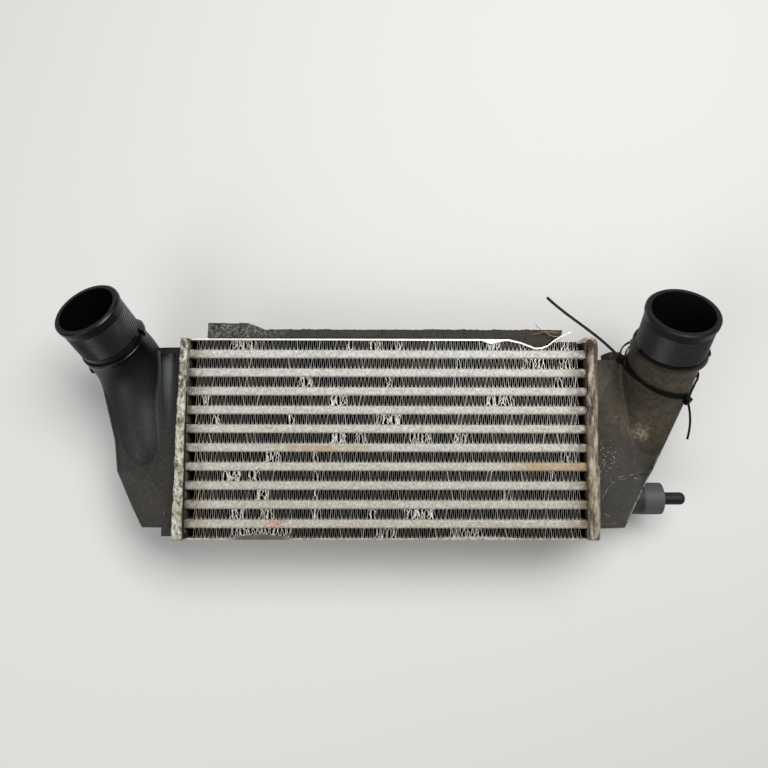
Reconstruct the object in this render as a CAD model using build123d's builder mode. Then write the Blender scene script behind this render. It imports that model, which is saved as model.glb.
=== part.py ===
from build123d import *
import os
from math import cos, radians, sin, sqrt

# A charge-air cooler for an engine: ten flat alloy tubes between two header plates, corrugated fins
# between the tubes, and a moulded air tank with a hose spigot crimped to each end.
# X runs from the left tank to the right tank, Y across the stack of tubes, Z is up.  The cooler lies
# on its face, so the depth of the core stands along Z.  The origin is the middle of the left header's
# resting edge.  Lengths are in millimetres, angles in degrees.

os.makedirs("parts", exist_ok=True)

# ------------------------------------------------------------------ driving dimensions
# flat tubes
tube_count = 10
tube_pitch = 14.0
tube_height = 6.65
tube_depth = 68.0
tube_wall = 0.5
tube_corner = 1.6
tube_reach = 1.0             # how far a tube stands through the floor of its header

# corrugated fins between the tubes, and the turbulators inside them
fin_pitch = 3.05
fin_crest = 0.95
fin_sheet = 0.2
fin_end_gap = 3.0
fin_setback = 1.0
outer_fin_height = 7.0
crushed_fin_height = 0.6
turbulator_pitch = 5.0
turbulator_crest = 1.5
turbulator_sheet = 0.25
turbulator_inset = 5.0
turbulator_side_gap = 2.0

# header plates, gaskets and the feet of the tanks
header_pitch = 303.0
header_width = 8.0
header_length = 149.6
header_depth = 80.0
header_sheet = 1.5
header_corner = 5.0
header_bend = 1.8            # outer radius where the floor of a header is folded up
crimp_lip = 2.2
gasket_thickness = 2.0
gasket_width = 3.2
braze_gap = 0.05
seat_gap = 0.2

# side plates: sheet, front flange, and each dent as its place and its distance from the straight sheet
plate_sheet = 1.2
flange_sheet = 1.2
top_plate_end = 289.8
top_dents = [
    (223.0, 0.0), (230.0, -2.0), (238.0, -0.4), (242.0, 0.0), (251.0, -2.0), (258.5, -4.8),
    (262.5, -6.4), (267.0, -6.2), (272.0, -4.4), (277.5, 0.0), (285.0, 3.8), (top_plate_end, 6.4),
]
bottom_dents = [
    (33.9, 0.0), (43.5, -1.6), (57.5, -3.0), (69.0, -2.0), (82.3, 0.0),
    (181.5, 0.0), (206.0, -1.2), (226.0, -1.2), (249.0, 0.0),
]

# seal strip on the top plate
seal_start = 15.4
seal_end = 284.7
seal_height = 8.0
seal_pad_end = 46.6
seal_pad_slope = 12.2
seal_pad_height = 12.8
seal_width = 40.0
seal_top_gap = 3.0
soft_gap = 0.3

# hose spigots: distances along the axis are measured from the mouth
bead_rise = 1.5
bead_land = 2.4
bead_slope = 1.2
mouth_round = 1.0
smooth_band = 3.6
rib_count = 12
rib_pitch = 1.75
rib_height = 0.45
shoulder_round = 1.2
spigot_wall = 2.4
neck_run = 18.0              # straight neck behind the hose seat, before it bends into the tank
ear_rise = 1.2
ear_ramp = 9.0
ear_land = 2.5
ear_arc = 30.0

# tanks
tank_wall = 2.5
overrun = 1.0                # how far a form that is added or cut runs past the face it meets
edge_match = 0.01            # how near an edge lies to the plane that it is picked by
tank_rim_gap = 0.5
plan_round = 8.0
left_duct_blend = 4.5        # hollow where the air duct rises out of the tank
right_duct_blend = 2.5

# left tank: plan of its walls, the air duct from the neck to its nose, and the rib beside the header
left_bore_radius = 21.0
left_neck_radius = 24.8
left_seat = 35.0
left_ears = [(0.0, 34.0), (180.0, 45.0)]
left_mouth = (-62.6, 90.5, 106.4)
left_axis = (-0.28, 0.552, 0.785)
left_tank_top = 68.0
left_end_low = -67.0
left_end_high = 68.5
left_plan = [(-26.0, left_end_high), (-58.0, 60.0), (-66.0, 42.0), (-54.5, -2.0), (-52.0, -25.0),
             (-33.0, left_end_low)]
left_top_round = 6.0
left_facet = [(-49.0, -24.0), (-21.0, -34.0), (-15.5, -51.0), (-14.0, -60.0), (-17.0, -70.0)]
left_facet_slope = 12.0
left_duct = [
    ((-42.0, 43.0, 53.0), (0.215, -0.870, -0.443), 25.5),
    ((-38.0, 20.0, 49.5), (0.14, -0.985, -0.05), 24.5),
    ((-33.0, -5.0, 50.5), (0.08, -0.995, 0.0), 22.0),
    ((-31.5, -21.0, 50.5), (0.08, -0.995, 0.0), 17.5),
    ((-31.0, -28.0, 50.0), (0.08, -0.995, 0.0), 11.0),
]
left_rib_x = -14.5
left_rib_radius = 8.0
left_rib_rise = 2.5
left_rib_high = 64.0
left_rib_low = -14.0
left_rib_taper = 2.2
left_foot_x = -12.6
left_foot_width = 7.4
left_foot_reach = 5.7
left_foot_height = 30.0
left_nub = (-55.5, -13.0, 60.0)
left_nub_radius = 3.0

# right tank: plan, sloping face, duct, pocket in the face, and locating pin
right_bore_radius = 22.0
right_neck_radius = 27.0
right_seat = 33.0
right_ears = [(0.0, 33.0), (180.0, 33.0)]
right_mouth = (355.0, 86.9, 123.7)
right_axis = (0.0, 0.638, 0.770)
right_tank_top = 74.0
right_end_low = -67.0
right_end_high = 59.0
right_plan = [(372.0, right_end_high), (385.5, 41.0), (331.0, right_end_low)]
right_face_slope = 11.0
right_edge_height = 62.0
right_side_lean = 20.0
right_duct = [
    ((355.0, 33.0, 62.0), (0.0, -0.85, -0.52), 26.5),
    ((352.0, 12.0, 53.0), (-0.1, -0.98, -0.15), 24.0),
    ((345.0, -14.0, 43.0), (-0.25, -0.96, 0.0), 19.0),
    ((342.0, -26.0, 41.0), (-0.25, -0.96, 0.0), 12.0),
]
pocket_x = 345.5
pocket_y = -51.5
pocket_radius = 25.0
pocket_drop = 1.2
lug_x = 326.5
lug_width = 9.0
lug_reach = 7.5
lug_low = 40.0
lug_high = 62.0
pin_radius = 4.85
pin_length = 19.5
pin_round = 3.8
boss_radius = 12.3
boss_round = 2.5
boss_start = 338.0
boss_face = 365.6
slot_width = 3.0
slot_depth = 2.0
slot_start = 350.0
slot_end = 362.6
pin_y = -46.4
pin_z = 40.0

# cable ties round the right neck: one behind the other, each with its head at its own turn
strap_width = 1.8
strap_thickness = 1.0
strap_gap = 0.7
strap_points = 36
tie_head_long = 5.0
tie_head_deep = 4.4
tie_head_round = 1.2
tie_back = 53.6
tie_tilt = 14.0
tie_apart = 0.3
front_tie_turn = -177.0
front_tie_slack = 5.0
rear_tie_turn = -64.0
rear_tie_slack = 0.5
tail_thickness = 1.1
long_tail_width = 1.8
long_tail = [(307.0, 71.7), (283.0, 90.2), (268.0, 103.0)]
short_tail_width = 1.3
short_tail = [(369.0, 17.0), (366.4, -0.5)]

# ------------------------------------------------------------------ sizes worked out from them
mid_height = header_depth / 2
core_start = header_width / 2
core_end = header_pitch - header_width / 2
core_low = mid_height - tube_depth / 2
core_high = mid_height + tube_depth / 2
outer_tube_face = (tube_count - 1) / 2 * tube_pitch + tube_height / 2
plate_face = outer_tube_face + outer_fin_height
pocket_width = header_width - 2 * header_sheet
pocket_length = header_length - 2 * header_sheet
pocket_depth = header_depth - 2 * header_sheet
pocket_corner = header_corner - header_sheet
foot_face = pocket_width / 2 - gasket_thickness
foot_thickness = pocket_width - gasket_thickness
rim_length = pocket_length - 2 * crimp_lip
rim_depth = pocket_depth - 2 * crimp_lip
rim_corner = pocket_corner - crimp_lip / 2
tank_low = (header_depth - rim_depth) / 2 + tank_rim_gap
tube_rows = [(n - (tube_count - 1) / 2) * tube_pitch for n in range(tube_count)]


def save(piece, name):
    piece.part.label = name
    export_step(piece.part, f"parts/{name}.step")


# ------------------------------------------------------------------ folded sheet
def along(points, x):
    """Height of a polyline at x, level past its ends."""
    if x <= points[0][0]:
        return points[0][1]
    for (x0, y0), (x1, y1) in zip(points, points[1:]):
        if x <= x1:
            return y0 + (y1 - y0) * (x - x0) / (x1 - x0)
    return points[-1][1]


def wave(start, pitch, crest, count, low, high):
    """Corners of a trapezoid wave between the heights low(x) and high(x)."""
    points = []
    for n in range(2 * count + 1):
        middle = start + n * pitch / 2
        span = (middle - crest / 2, middle, middle + crest / 2)
        level = min(high(x) for x in span) if n % 2 else max(low(x) for x in span)
        points += [(span[0], level), (span[2], level)]
    return points


def ribbon(points, thickness):
    """Closed outline of a sheet that follows the points, with mitred corners."""
    normals = []
    for (x0, y0), (x1, y1) in zip(points, points[1:]):
        length = sqrt((x1 - x0) ** 2 + (y1 - y0) ** 2)
        normals.append(((y0 - y1) / length, (x1 - x0) / length))
    upper, lower = [], []
    for (x, y), before, after in zip(points, normals[:1] + normals, normals + normals[-1:]):
        nx, ny = before[0] + after[0], before[1] + after[1]
        reach = thickness / (nx * nx + ny * ny)
        upper.append((x + nx * reach, y + ny * reach))
        lower.append((x - nx * reach, y - ny * reach))
    return upper + lower[::-1]


# ------------------------------------------------------------------ core
top_under = [(x, plate_face + max(dent, crushed_fin_height - outer_fin_height)) for x, dent in top_dents]
bottom_over = [(x, -plate_face - dent) for x, dent in bottom_dents]
fin_count = int((core_end - core_start - 2 * fin_end_gap - fin_crest) / fin_pitch)
fin_start = (core_start + core_end - fin_count * fin_pitch) / 2


def under_top_plate(x):
    return min(along(top_under, x), plate_face) - braze_gap


def over_bottom_plate(x):
    return along(bottom_over, x) + braze_gap


for n, y in enumerate(tube_rows, 1):
    # a flat tube, which stands through the floor of each header
    with BuildPart() as tube:
        with BuildSketch(Plane.YZ.offset(core_start - header_sheet - tube_reach)):
            with Locations((y, mid_height)):
                RectangleRounded(tube_height, tube_depth, tube_corner)
                RectangleRounded(tube_height - 2 * tube_wall, tube_depth - 2 * tube_wall,
                                 tube_corner - tube_wall, mode=Mode.SUBTRACT)
        extrude(amount=core_end - core_start + 2 * (header_sheet + tube_reach))
    save(tube, f"charge_tube_{n:02d}")

    # its turbulator, a folded strip that holds the two flat walls together
    inside = tube_height / 2 - tube_wall - turbulator_sheet / 2
    strip = tube_depth - 2 * tube_wall - 2 * turbulator_side_gap - turbulator_crest
    folds = int(strip / turbulator_pitch)
    path = wave(mid_height - folds * turbulator_pitch / 2, turbulator_pitch, turbulator_crest, folds,
                lambda z: y - inside, lambda z: y + inside)
    with BuildPart() as turbulator:
        with BuildSketch(Plane.YZ.offset(core_start + turbulator_inset)):
            with BuildLine():
                Polyline([(across, z) for z, across in ribbon(path, turbulator_sheet)], close=True)
            make_face()
        extrude(amount=core_end - core_start - 2 * turbulator_inset)
    save(turbulator, f"turbulator_{n:02d}")

fin_floors = [over_bottom_plate] + [lambda x, y=y: y + tube_height / 2 for y in tube_rows]
fin_roofs = [lambda x, y=y: y - tube_height / 2 for y in tube_rows] + [under_top_plate]
for n, (floor, roof) in enumerate(zip(fin_floors, fin_roofs), 1):
    # a corrugated fin, brazed by its crests to the tube or plate on each side
    path = wave(fin_start, fin_pitch, fin_crest, fin_count,
                lambda x: floor(x) + fin_sheet / 2, lambda x: roof(x) - fin_sheet / 2)
    with BuildPart() as fin:
        with BuildSketch(Plane.XY.offset(core_low + fin_setback)):
            with BuildLine():
                Polyline(ribbon(path, fin_sheet), close=True)
            make_face()
        extrude(amount=tube_depth - 2 * fin_setback)
    save(fin, f"fin_row_{n:02d}")

# ------------------------------------------------------------------ side plates and seal strip
with BuildPart() as top_plate:
    under = [(core_start, plate_face)] + top_under
    over = [(x, y + plate_sheet) for x, y in under]
    with BuildSketch(Plane.XY.offset(core_low)):
        with BuildLine():
            Polyline(under + over[::-1], close=True)
        make_face()
    extrude(amount=tube_depth)
save(top_plate, "top_side_plate")

with BuildPart() as bottom_plate:
    inner = [(core_start, -plate_face)] + bottom_over + [(core_end, -plate_face)]
    outer = [(x, y - plate_sheet) for x, y in inner]
    with BuildSketch(Plane.XY.offset(core_low)):
        with BuildLine():
            Polyline(inner + outer[::-1], close=True)
        make_face()
    extrude(amount=tube_depth)
    # the front flange keeps its straight outer edge where the sheet behind it is pushed in
    with BuildSketch(Plane.XY.offset(core_high - flange_sheet)):
        with BuildLine():
            straight = -plate_face - plate_sheet
            Polyline(inner + [(core_end, straight), (core_start, straight)], close=True)
        make_face()
    extrude(amount=flange_sheet)
save(bottom_plate, "bottom_side_plate")

with BuildPart() as seal:
    seat = [(seal_start, plate_face)] + [p for p in top_under if p[0] < seal_end]
    seat.append((seal_end, along(top_under, seal_end)))
    seat = [(x, y + plate_sheet + soft_gap) for x, y in seat]
    seal_face = plate_face + plate_sheet
    back = [(seal_end, seal_face + seal_height), (seal_pad_end + seal_pad_slope, seal_face + seal_height),
            (seal_pad_end, seal_face + seal_pad_height), (seal_start, seal_face + seal_pad_height)]
    with BuildSketch(Plane.XY.offset(core_high - seal_top_gap - seal_width)):
        with BuildLine():
            Polyline(seat + back, close=True)
        make_face()
    extrude(amount=seal_width)
save(seal, "foam_seal_strip")


# ------------------------------------------------------------------ headers and gaskets
def save_header(name, x, outward):
    """A folded tray: a slotted floor towards the core, and a rim crimped over the foot of the tank."""
    with BuildPart() as header:
        with BuildSketch(Plane.YZ.offset(x - header_width / 2)):
            with Locations((0, mid_height)):
                RectangleRounded(header_length, header_depth, header_corner)
        extrude(amount=header_width)
        core_side = faces().sort_by(Axis.X)[-1 if outward < 0 else 0]
        fillet(core_side.edges(), radius=header_bend)
        with BuildSketch(Plane.YZ.offset(x - pocket_width / 2)):
            with Locations((0, mid_height)):
                RectangleRounded(pocket_length, pocket_depth, pocket_corner)
        extrude(amount=pocket_width, mode=Mode.SUBTRACT)
        with BuildSketch(Plane.YZ.offset(x)):
            with Locations((0, mid_height)):
                RectangleRounded(rim_length, rim_depth, rim_corner)
        extrude(amount=outward * header_width, mode=Mode.SUBTRACT)
        with BuildSketch(Plane.YZ.offset(x)):
            with Locations((0, mid_height)):
                with GridLocations(tube_pitch, tube_depth, tube_count, 1):
                    RectangleRounded(tube_height + 2 * braze_gap, tube_depth + 2 * braze_gap,
                                     tube_corner + braze_gap)
        extrude(amount=-outward * header_width, mode=Mode.SUBTRACT)
    save(header, name)


def save_gasket(name, x, outward):
    """A flat ring between the floor of the header and the foot of the tank."""
    with BuildPart() as gasket:
        with BuildSketch(Plane.YZ.offset(x - outward * pocket_width / 2)):
            with Locations((0, mid_height)):
                RectangleRounded(pocket_length - 2 * seat_gap, pocket_depth - 2 * seat_gap, pocket_corner)
                RectangleRounded(pocket_length - 2 * gasket_width, pocket_depth - 2 * gasket_width,
                                 pocket_corner, mode=Mode.SUBTRACT)
        extrude(amount=outward * gasket_thickness)
    save(gasket, name)


save_header("left_header_plate", 0.0, -1)
save_header("right_header_plate", header_pitch, 1)
save_gasket("left_gasket", 0.0, -1)
save_gasket("right_gasket", header_pitch, 1)


# ------------------------------------------------------------------ tanks
def radius_plane(origin, direction, turn=0):
    """Plane with its Y along the direction and its X along a radius, turned about that direction."""
    axis = Vector(*direction).normalized()
    radius = axis.cross(Vector(0, 0, 1)).normalized().rotate(Axis((0, 0, 0), axis), turn)
    return Plane(origin=origin, x_dir=radius, z_dir=radius.cross(axis))


def turned(plane, outline, arc=360, mode=Mode.ADD):
    """Turn a half outline of (radius, distance along the axis) into a round solid."""
    with BuildSketch(plane) as half:
        with BuildLine():
            Polyline(outline, close=True)
        make_face()
    revolve(half.sketch, axis=Axis(plane.origin, plane.y_dir), revolution_arc=arc, mode=mode)


def spigot(mouth, axis, bore_radius, neck_radius, seat, ears):
    """Bead, ribbed hose seat, shoulder and stop ears, as a filled round solid."""
    barrel = bore_radius + spigot_wall
    bead = barrel + bead_rise
    outline = [(0, -seat - shoulder_round), (neck_radius, -seat - shoulder_round),
               (neck_radius - shoulder_round, -seat), (barrel, -seat)]
    band = mouth_round + bead_land + bead_slope + smooth_band
    for n in reversed(range(rib_count)):
        top = -band - n * rib_pitch
        outline += [(barrel, top - rib_pitch), (barrel + rib_height, top - rib_pitch / 2)]
    outline += [(barrel, -band), (barrel, -band + smooth_band), (bead, -mouth_round - bead_land),
                (bead, -mouth_round), (bead - mouth_round, 0), (0, 0)]
    turned(radius_plane(mouth, axis), outline)
    crest = neck_radius + ear_rise
    for side, stop in ears:
        turned(radius_plane(mouth, axis, side - ear_arc / 2),
               [(bore_radius, -stop + ear_ramp), (crest, -stop), (crest, -stop - ear_land),
                (bore_radius, -stop - ear_ramp)], ear_arc)


def duct(mouth, axis, neck_radius, seat, sections, inset):
    """The air way: round sections from inside the spigot down the tank to a blunt nose."""
    direction = Vector(*axis).normalized()
    start = Vector(*mouth) - direction * (seat - shoulder_round / 2)
    bend = Vector(*mouth) - direction * (seat + neck_run)
    with BuildPart() as way:
        for origin in (start, bend):
            with BuildSketch(Plane(origin=origin, z_dir=-direction)):
                Circle(neck_radius - inset)
        for origin, heading, radius in sections:
            with BuildSketch(Plane(origin=origin, z_dir=heading)):
                Circle(radius - inset)
        loft()
    return way.part


def blend(plane, radius):
    """Round the hollow where the air duct meets the plane."""
    foot_edges = edges().filter_by(GeomType.BSPLINE)
    for place in (0, 0.5, 1):
        foot_edges = foot_edges.filter_by(lambda e: abs(plane.to_local_coords(e @ place).Z) < edge_match)
    fillet(foot_edges, radius=radius)


def left_facet_cutter(inset):
    """What the sloping facet takes off the low end of the left tank."""
    (x0, y0), (x1, y1) = left_facet[:2]
    crease = Vector(x1 - x0, y1 - y0, 0).normalized()
    tilt = radians(left_facet_slope)
    downhill = crease.cross(Vector(0, 0, 1))
    slope = Plane(origin=(x0, y0, left_tank_top), x_dir=crease,
                  z_dir=downhill * sin(tilt) + Vector(0, 0, cos(tilt)))
    low_left = (left_plan[2][0] - plan_round, left_facet[-1][1])
    high_left = (low_left[0], y0 + (y0 - y1) / (x1 - x0) * (x0 - low_left[0]))
    with BuildPart() as cutter:
        with BuildSketch(Plane.XY.offset(mid_height)):
            with BuildLine():
                Polyline([low_left, high_left] + left_facet, close=True)
            make_face()
            offset(amount=inset)
        extrude(amount=mid_height)
        split(bisect_by=slope.offset(-inset), keep=Keep.TOP)
    return cutter.part


def left_form(inset):
    """Outer form of the left tank, or the room inside it when inset by the wall."""
    way = duct(left_mouth, left_axis, left_neck_radius, left_seat, left_duct, inset)
    cutter = left_facet_cutter(inset)
    with BuildPart() as form:
        with BuildSketch(Plane.XY.offset(tank_low + inset)):
            with BuildLine():
                Polyline([(foot_face, left_end_low), (foot_face, left_end_high)] + left_plan, close=True)
            make_face()
            fillet(vertices().sort_by(Axis.X)[:len(left_plan) - 2], radius=plan_round)
            offset(amount=-inset)
        extrude(amount=left_tank_top - tank_low - 2 * inset)
        rim = edges().group_by(Axis.Z)[-1].filter_by(lambda e: e.center().X < left_plan[-1][0])
        fillet(rim, radius=left_top_round - inset)
        add(cutter, mode=Mode.SUBTRACT)
        if inset:
            with BuildSketch(Plane.YZ.offset(-foot_thickness)):
                with Locations(((left_end_low + left_end_high) / 2, (tank_low + left_tank_top) / 2)):
                    Rectangle(left_end_high - left_end_low - 2 * inset,
                              left_tank_top - tank_low - 2 * inset)
            extrude(amount=header_width)
        add(way)
        if not inset:
            blend(Plane.XY.offset(left_tank_top), left_duct_blend)
    return form.part


def right_planes():
    """The right tank's sloping face, its upright side, and that side as it leans in above the face."""
    edge_high, edge_low = right_plan[1:]
    along_edge = Vector(edge_high[0] - edge_low[0], edge_high[1] - edge_low[1], 0).normalized()
    out_of_edge = along_edge.cross(Vector(0, 0, 1))
    tilt = radians(right_face_slope)
    corner = (*edge_low, right_edge_height)
    lean = radians(right_side_lean)
    up = Vector(0, 0, 1)
    face = Plane(origin=corner, x_dir=along_edge, z_dir=out_of_edge * sin(tilt) + up * cos(tilt))
    side = Plane(origin=corner, x_dir=along_edge, z_dir=out_of_edge)
    leaning = Plane(origin=corner, x_dir=along_edge, z_dir=out_of_edge * cos(lean) + up * sin(lean))
    return face, side, leaning


def right_form(inset):
    """Outer form of the right tank, or the room inside it when inset by the wall."""
    way = duct(right_mouth, right_axis, right_neck_radius, right_seat, right_duct, inset)
    face, side, leaning = right_planes()
    face_x = header_pitch - foot_face
    with BuildPart() as form:
        with BuildSketch(Plane.XY.offset(tank_low + inset)):
            with BuildLine():
                Polyline([(face_x, right_end_low), (face_x, right_end_high)] + right_plan, close=True)
            make_face()
            offset(amount=-inset)
        extrude(amount=right_tank_top - tank_low - 2 * inset)
        split(bisect_by=face.offset(-inset), keep=Keep.BOTTOM)
        if inset:
            with BuildSketch(Plane.YZ.offset(header_pitch + foot_thickness)):
                with Locations(((right_end_low + right_end_high) / 2, (tank_low + right_tank_top) / 2)):
                    Rectangle(right_end_high - right_end_low - 2 * inset,
                              right_tank_top - tank_low - 2 * inset)
            extrude(amount=-header_width)
        add(way)
        split(bisect_by=side.offset(-inset), keep=Keep.BOTTOM)
        split(bisect_by=leaning.offset(-inset), keep=Keep.BOTTOM)
        if not inset:
            blend(face, right_duct_blend)
    return form.part


def foot(x, outward):
    """The flange of a tank, held in its header by the crimped rim."""
    with BuildSketch(Plane.YZ.offset(x - outward * foot_face)) as flange:
        with Locations((0, mid_height)):
            RectangleRounded(pocket_length - 2 * seat_gap, pocket_depth - 2 * seat_gap, pocket_corner)
    extrude(flange.sketch, amount=outward * foot_thickness)


def bore(mouth, axis, radius, seat):
    """The hose end's straight bore, as deep as the hose seat."""
    turned(radius_plane(mouth, axis), [(0, overrun), (radius, overrun), (radius, -seat), (0, -seat)],
           mode=Mode.SUBTRACT)


left_outside = left_form(0)
left_room = left_form(tank_wall)
with BuildPart() as left_tank:
    add(left_outside)
    spigot(left_mouth, left_axis, left_bore_radius, left_neck_radius, left_seat, left_ears)
    foot(0.0, -1)
    # a shallow rib beside the header, a lug at its low end and a small nub on the outer wall
    with BuildSketch(Plane.XZ.offset(-left_rib_high)):
        with Locations((left_rib_x, left_tank_top + left_rib_rise - left_rib_radius)):
            Circle(left_rib_radius)
    extrude(amount=left_rib_high - left_rib_low, taper=left_rib_taper)
    with BuildSketch(Plane.XZ.offset(-left_end_low - overrun)):
        with Locations((left_foot_x, left_tank_top - left_foot_height / 2)):
            Rectangle(left_foot_width, left_foot_height)
    extrude(amount=left_foot_reach + overrun)
    with Locations(left_nub):
        Sphere(left_nub_radius)
    add(left_room, mode=Mode.SUBTRACT)
    bore(left_mouth, left_axis, left_bore_radius, left_seat)
save(left_tank, "left_tank")


right_outside = right_form(0)
right_room = right_form(tank_wall)
with BuildPart() as pocket:
    # the scooped part of the sloping face, round the root of the boss
    with BuildSketch(Plane.XY.offset(mid_height)):
        with Locations((pocket_x, pocket_y)):
            Circle(pocket_radius)
    extrude(amount=mid_height)
    split(bisect_by=right_planes()[0].offset(-pocket_drop), keep=Keep.TOP)

with BuildPart() as right_tank:
    add(right_outside)
    add(pocket.part, mode=Mode.SUBTRACT)
    spigot(right_mouth, right_axis, right_bore_radius, right_neck_radius, right_seat, right_ears)
    foot(header_pitch, 1)
    with BuildSketch(Plane.XZ.offset(-right_end_high - lug_reach)):
        with Locations((lug_x, (lug_low + lug_high) / 2)):
            Rectangle(lug_width, lug_high - lug_low)
    extrude(amount=lug_reach + overrun)
    add(right_room, mode=Mode.SUBTRACT)
    bore(right_mouth, right_axis, right_bore_radius, right_seat)
    # boss on the slanted side, with a slot along it, and the locating pin on its end
    with BuildSketch(Plane.YZ.offset(boss_start)):
        with Locations((pin_y, pin_z)):
            Circle(boss_radius)
    extrude(amount=boss_face - boss_start)
    fillet(edges().filter_by(GeomType.CIRCLE).sort_by(Axis.X)[-1], radius=boss_round)
    with BuildSketch(Plane.YZ.offset(boss_face)):
        with Locations((pin_y, pin_z)):
            Circle(pin_radius)
    extrude(amount=pin_length)
    fillet(edges().filter_by(GeomType.CIRCLE).sort_by(Axis.X)[-1], radius=pin_round)
    with BuildSketch(Plane.YZ.offset(slot_start)):
        with Locations((pin_y - boss_radius, pin_z + slot_width)):
            Rectangle(2 * slot_depth, slot_width)
    extrude(amount=slot_end - slot_start, mode=Mode.SUBTRACT)
save(right_tank, "right_tank")


# ------------------------------------------------------------------ cable ties
def strap_plane(back, turn):
    """Plane of a strap round the right neck, with its X towards the head of the tie."""
    axis = Vector(*right_axis).normalized()
    lean = radians(tie_tilt)
    normal = axis * cos(lean) + Vector(sin(lean), 0, 0)
    right = Vector(cos(lean), 0, 0) - axis * sin(lean)
    return Plane(origin=Vector(*right_mouth) - axis * back, z_dir=normal,
                 x_dir=right.rotate(Axis((0, 0, 0), normal), turn))


def strap_loop(plane, spread, slack):
    """Points round the neck, spread out from it and drawn out by the slack towards the head."""
    neck = section(right_outside, section_by=plane, mode=Mode.PRIVATE)
    around = offset(neck, amount=spread, mode=Mode.PRIVATE).face().outer_wire()
    loop = []
    for n in range(strap_points):
        point = plane.to_local_coords(around.position_at(n / strap_points))
        toward_head = (1 + point.X / point.length) / 2
        loop.append(point + Vector(slack * toward_head ** 2, 0, 0))
    return loop


def strap(plane, slack, head_shift):
    """A strap that hugs the neck, with its head, whose middle is given back."""
    outer = strap_loop(plane, strap_gap + strap_thickness, slack)
    inner = strap_loop(plane, strap_gap, slack)
    with BuildSketch(plane) as band:
        with BuildLine():
            Spline(outer, periodic=True)
        make_face()
        with BuildLine():
            Spline(inner, periodic=True)
        make_face(mode=Mode.SUBTRACT)
    extrude(band.sketch, amount=strap_width / 2, both=True)
    middle = max(point.X for point in inner) + tie_head_deep / 2
    with BuildSketch(plane.offset(head_shift)) as block:
        with Locations((middle, 0)):
            RectangleRounded(tie_head_deep, tie_head_long, tie_head_round)
    extrude(block.sketch, amount=tie_head_long / 2, both=True)
    return plane.from_local_coords(Vector(middle, 0, head_shift))


def tail(head, points, width):
    """The loose end of a strap, lying level from the middle of its head."""
    with BuildLine() as route:
        Spline([(head.X, head.Y)] + points)
    with BuildSketch(Plane.XY.offset(head.Z - tail_thickness / 2)) as flat:
        trace(lines=route.line, line_width=width)
    extrude(flat.sketch, amount=tail_thickness)


# each head stands clear of the other tie: the front one forwards, the rear one backwards
head_shift = (tie_head_long - strap_width) / 2
with BuildPart() as front_tie:
    head = strap(strap_plane(tie_back, front_tie_turn), front_tie_slack, head_shift)
    tail(head, long_tail, long_tail_width)
save(front_tie, "cable_tie_long_tail")

with BuildPart() as rear_tie:
    rear_tie_back = tie_back + strap_width + tie_apart
    head = strap(strap_plane(rear_tie_back, rear_tie_turn), rear_tie_slack, -head_shift)
    tail(head, short_tail, short_tail_width)
save(rear_tie, "cable_tie_short_tail")
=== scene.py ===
import math
import random

import bmesh
import bpy
from mathutils import Matrix, Vector, noise
from mathutils.bvhtree import BVHTree


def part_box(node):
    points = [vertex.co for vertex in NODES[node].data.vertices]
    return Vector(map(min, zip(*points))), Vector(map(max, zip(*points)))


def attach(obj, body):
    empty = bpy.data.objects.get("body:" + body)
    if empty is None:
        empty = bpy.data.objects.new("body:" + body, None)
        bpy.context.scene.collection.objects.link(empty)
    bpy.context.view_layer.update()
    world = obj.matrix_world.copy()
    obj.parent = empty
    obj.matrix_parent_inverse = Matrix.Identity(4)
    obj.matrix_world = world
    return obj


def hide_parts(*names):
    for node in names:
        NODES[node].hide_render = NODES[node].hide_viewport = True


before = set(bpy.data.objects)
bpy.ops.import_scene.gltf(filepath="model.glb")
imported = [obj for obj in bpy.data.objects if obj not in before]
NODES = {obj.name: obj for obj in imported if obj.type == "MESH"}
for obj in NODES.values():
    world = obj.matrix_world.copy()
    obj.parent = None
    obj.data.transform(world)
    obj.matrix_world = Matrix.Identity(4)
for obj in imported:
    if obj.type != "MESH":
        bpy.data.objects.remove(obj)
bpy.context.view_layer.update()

# A used charge-air cooler that lies on its back, seen from above.  X runs along the tubes from the left
# tank to the right tank, Y across the stack of tubes, Z up from the floor to the cooler's face.  Blender
# works in metres; sizes here are written in millimetres and multiplied by MM.
MM = 0.001
TUBES = [f"charge_tube_{n:02d}" for n in range(1, 11)]
FIN_ROWS = [f"fin_row_{n:02d}" for n in range(1, 12)]
TURBULATORS = [f"turbulator_{n:02d}" for n in range(1, 11)]

# each spigot: the middle of its mouth, and its axis out of the tank
LEFT_SPIGOT = ((-62.6, 90.5, 106.4), (-0.28, 0.552, 0.785))
RIGHT_SPIGOT = ((355.0, 86.9, 123.7), (0.0, 0.638, 0.770))
RIB_START, RIB_PITCH, RIB_COUNT = 8.2, 1.75, 12   # the ribs that grip the hose, behind a mouth
RIB_FADE = 0.3                                    # over this length the band of ribs fades in and out
BARREL_SKIN = (22.4, 23.2)                        # radii between the bores and the outside of the barrels


# ---------------------------------------------------------------- material tools
def linear(code):
    """An sRGB hex colour as linear RGBA."""
    parts = [int(code[i:i + 2], 16) / 255 for i in (1, 3, 5)]
    return (*[c / 12.92 if c <= 0.04045 else ((c + 0.055) / 1.055) ** 2.4 for c in parts], 1.0)


def add(tree, kind, settings=None, links=None):
    """Add a shader node; settings go to its inputs or properties, and links feed its inputs."""
    node = tree.nodes.new("ShaderNode" + kind)
    for name, value in (settings or {}).items():
        if isinstance(name, int) or name in node.inputs:
            node.inputs[name].default_value = value
        else:
            setattr(node, name, value)
    for name, source in (links or {}).items():
        tree.links.new(getattr(source, "outputs", [source])[0], node.inputs[name])
    return node


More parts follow.
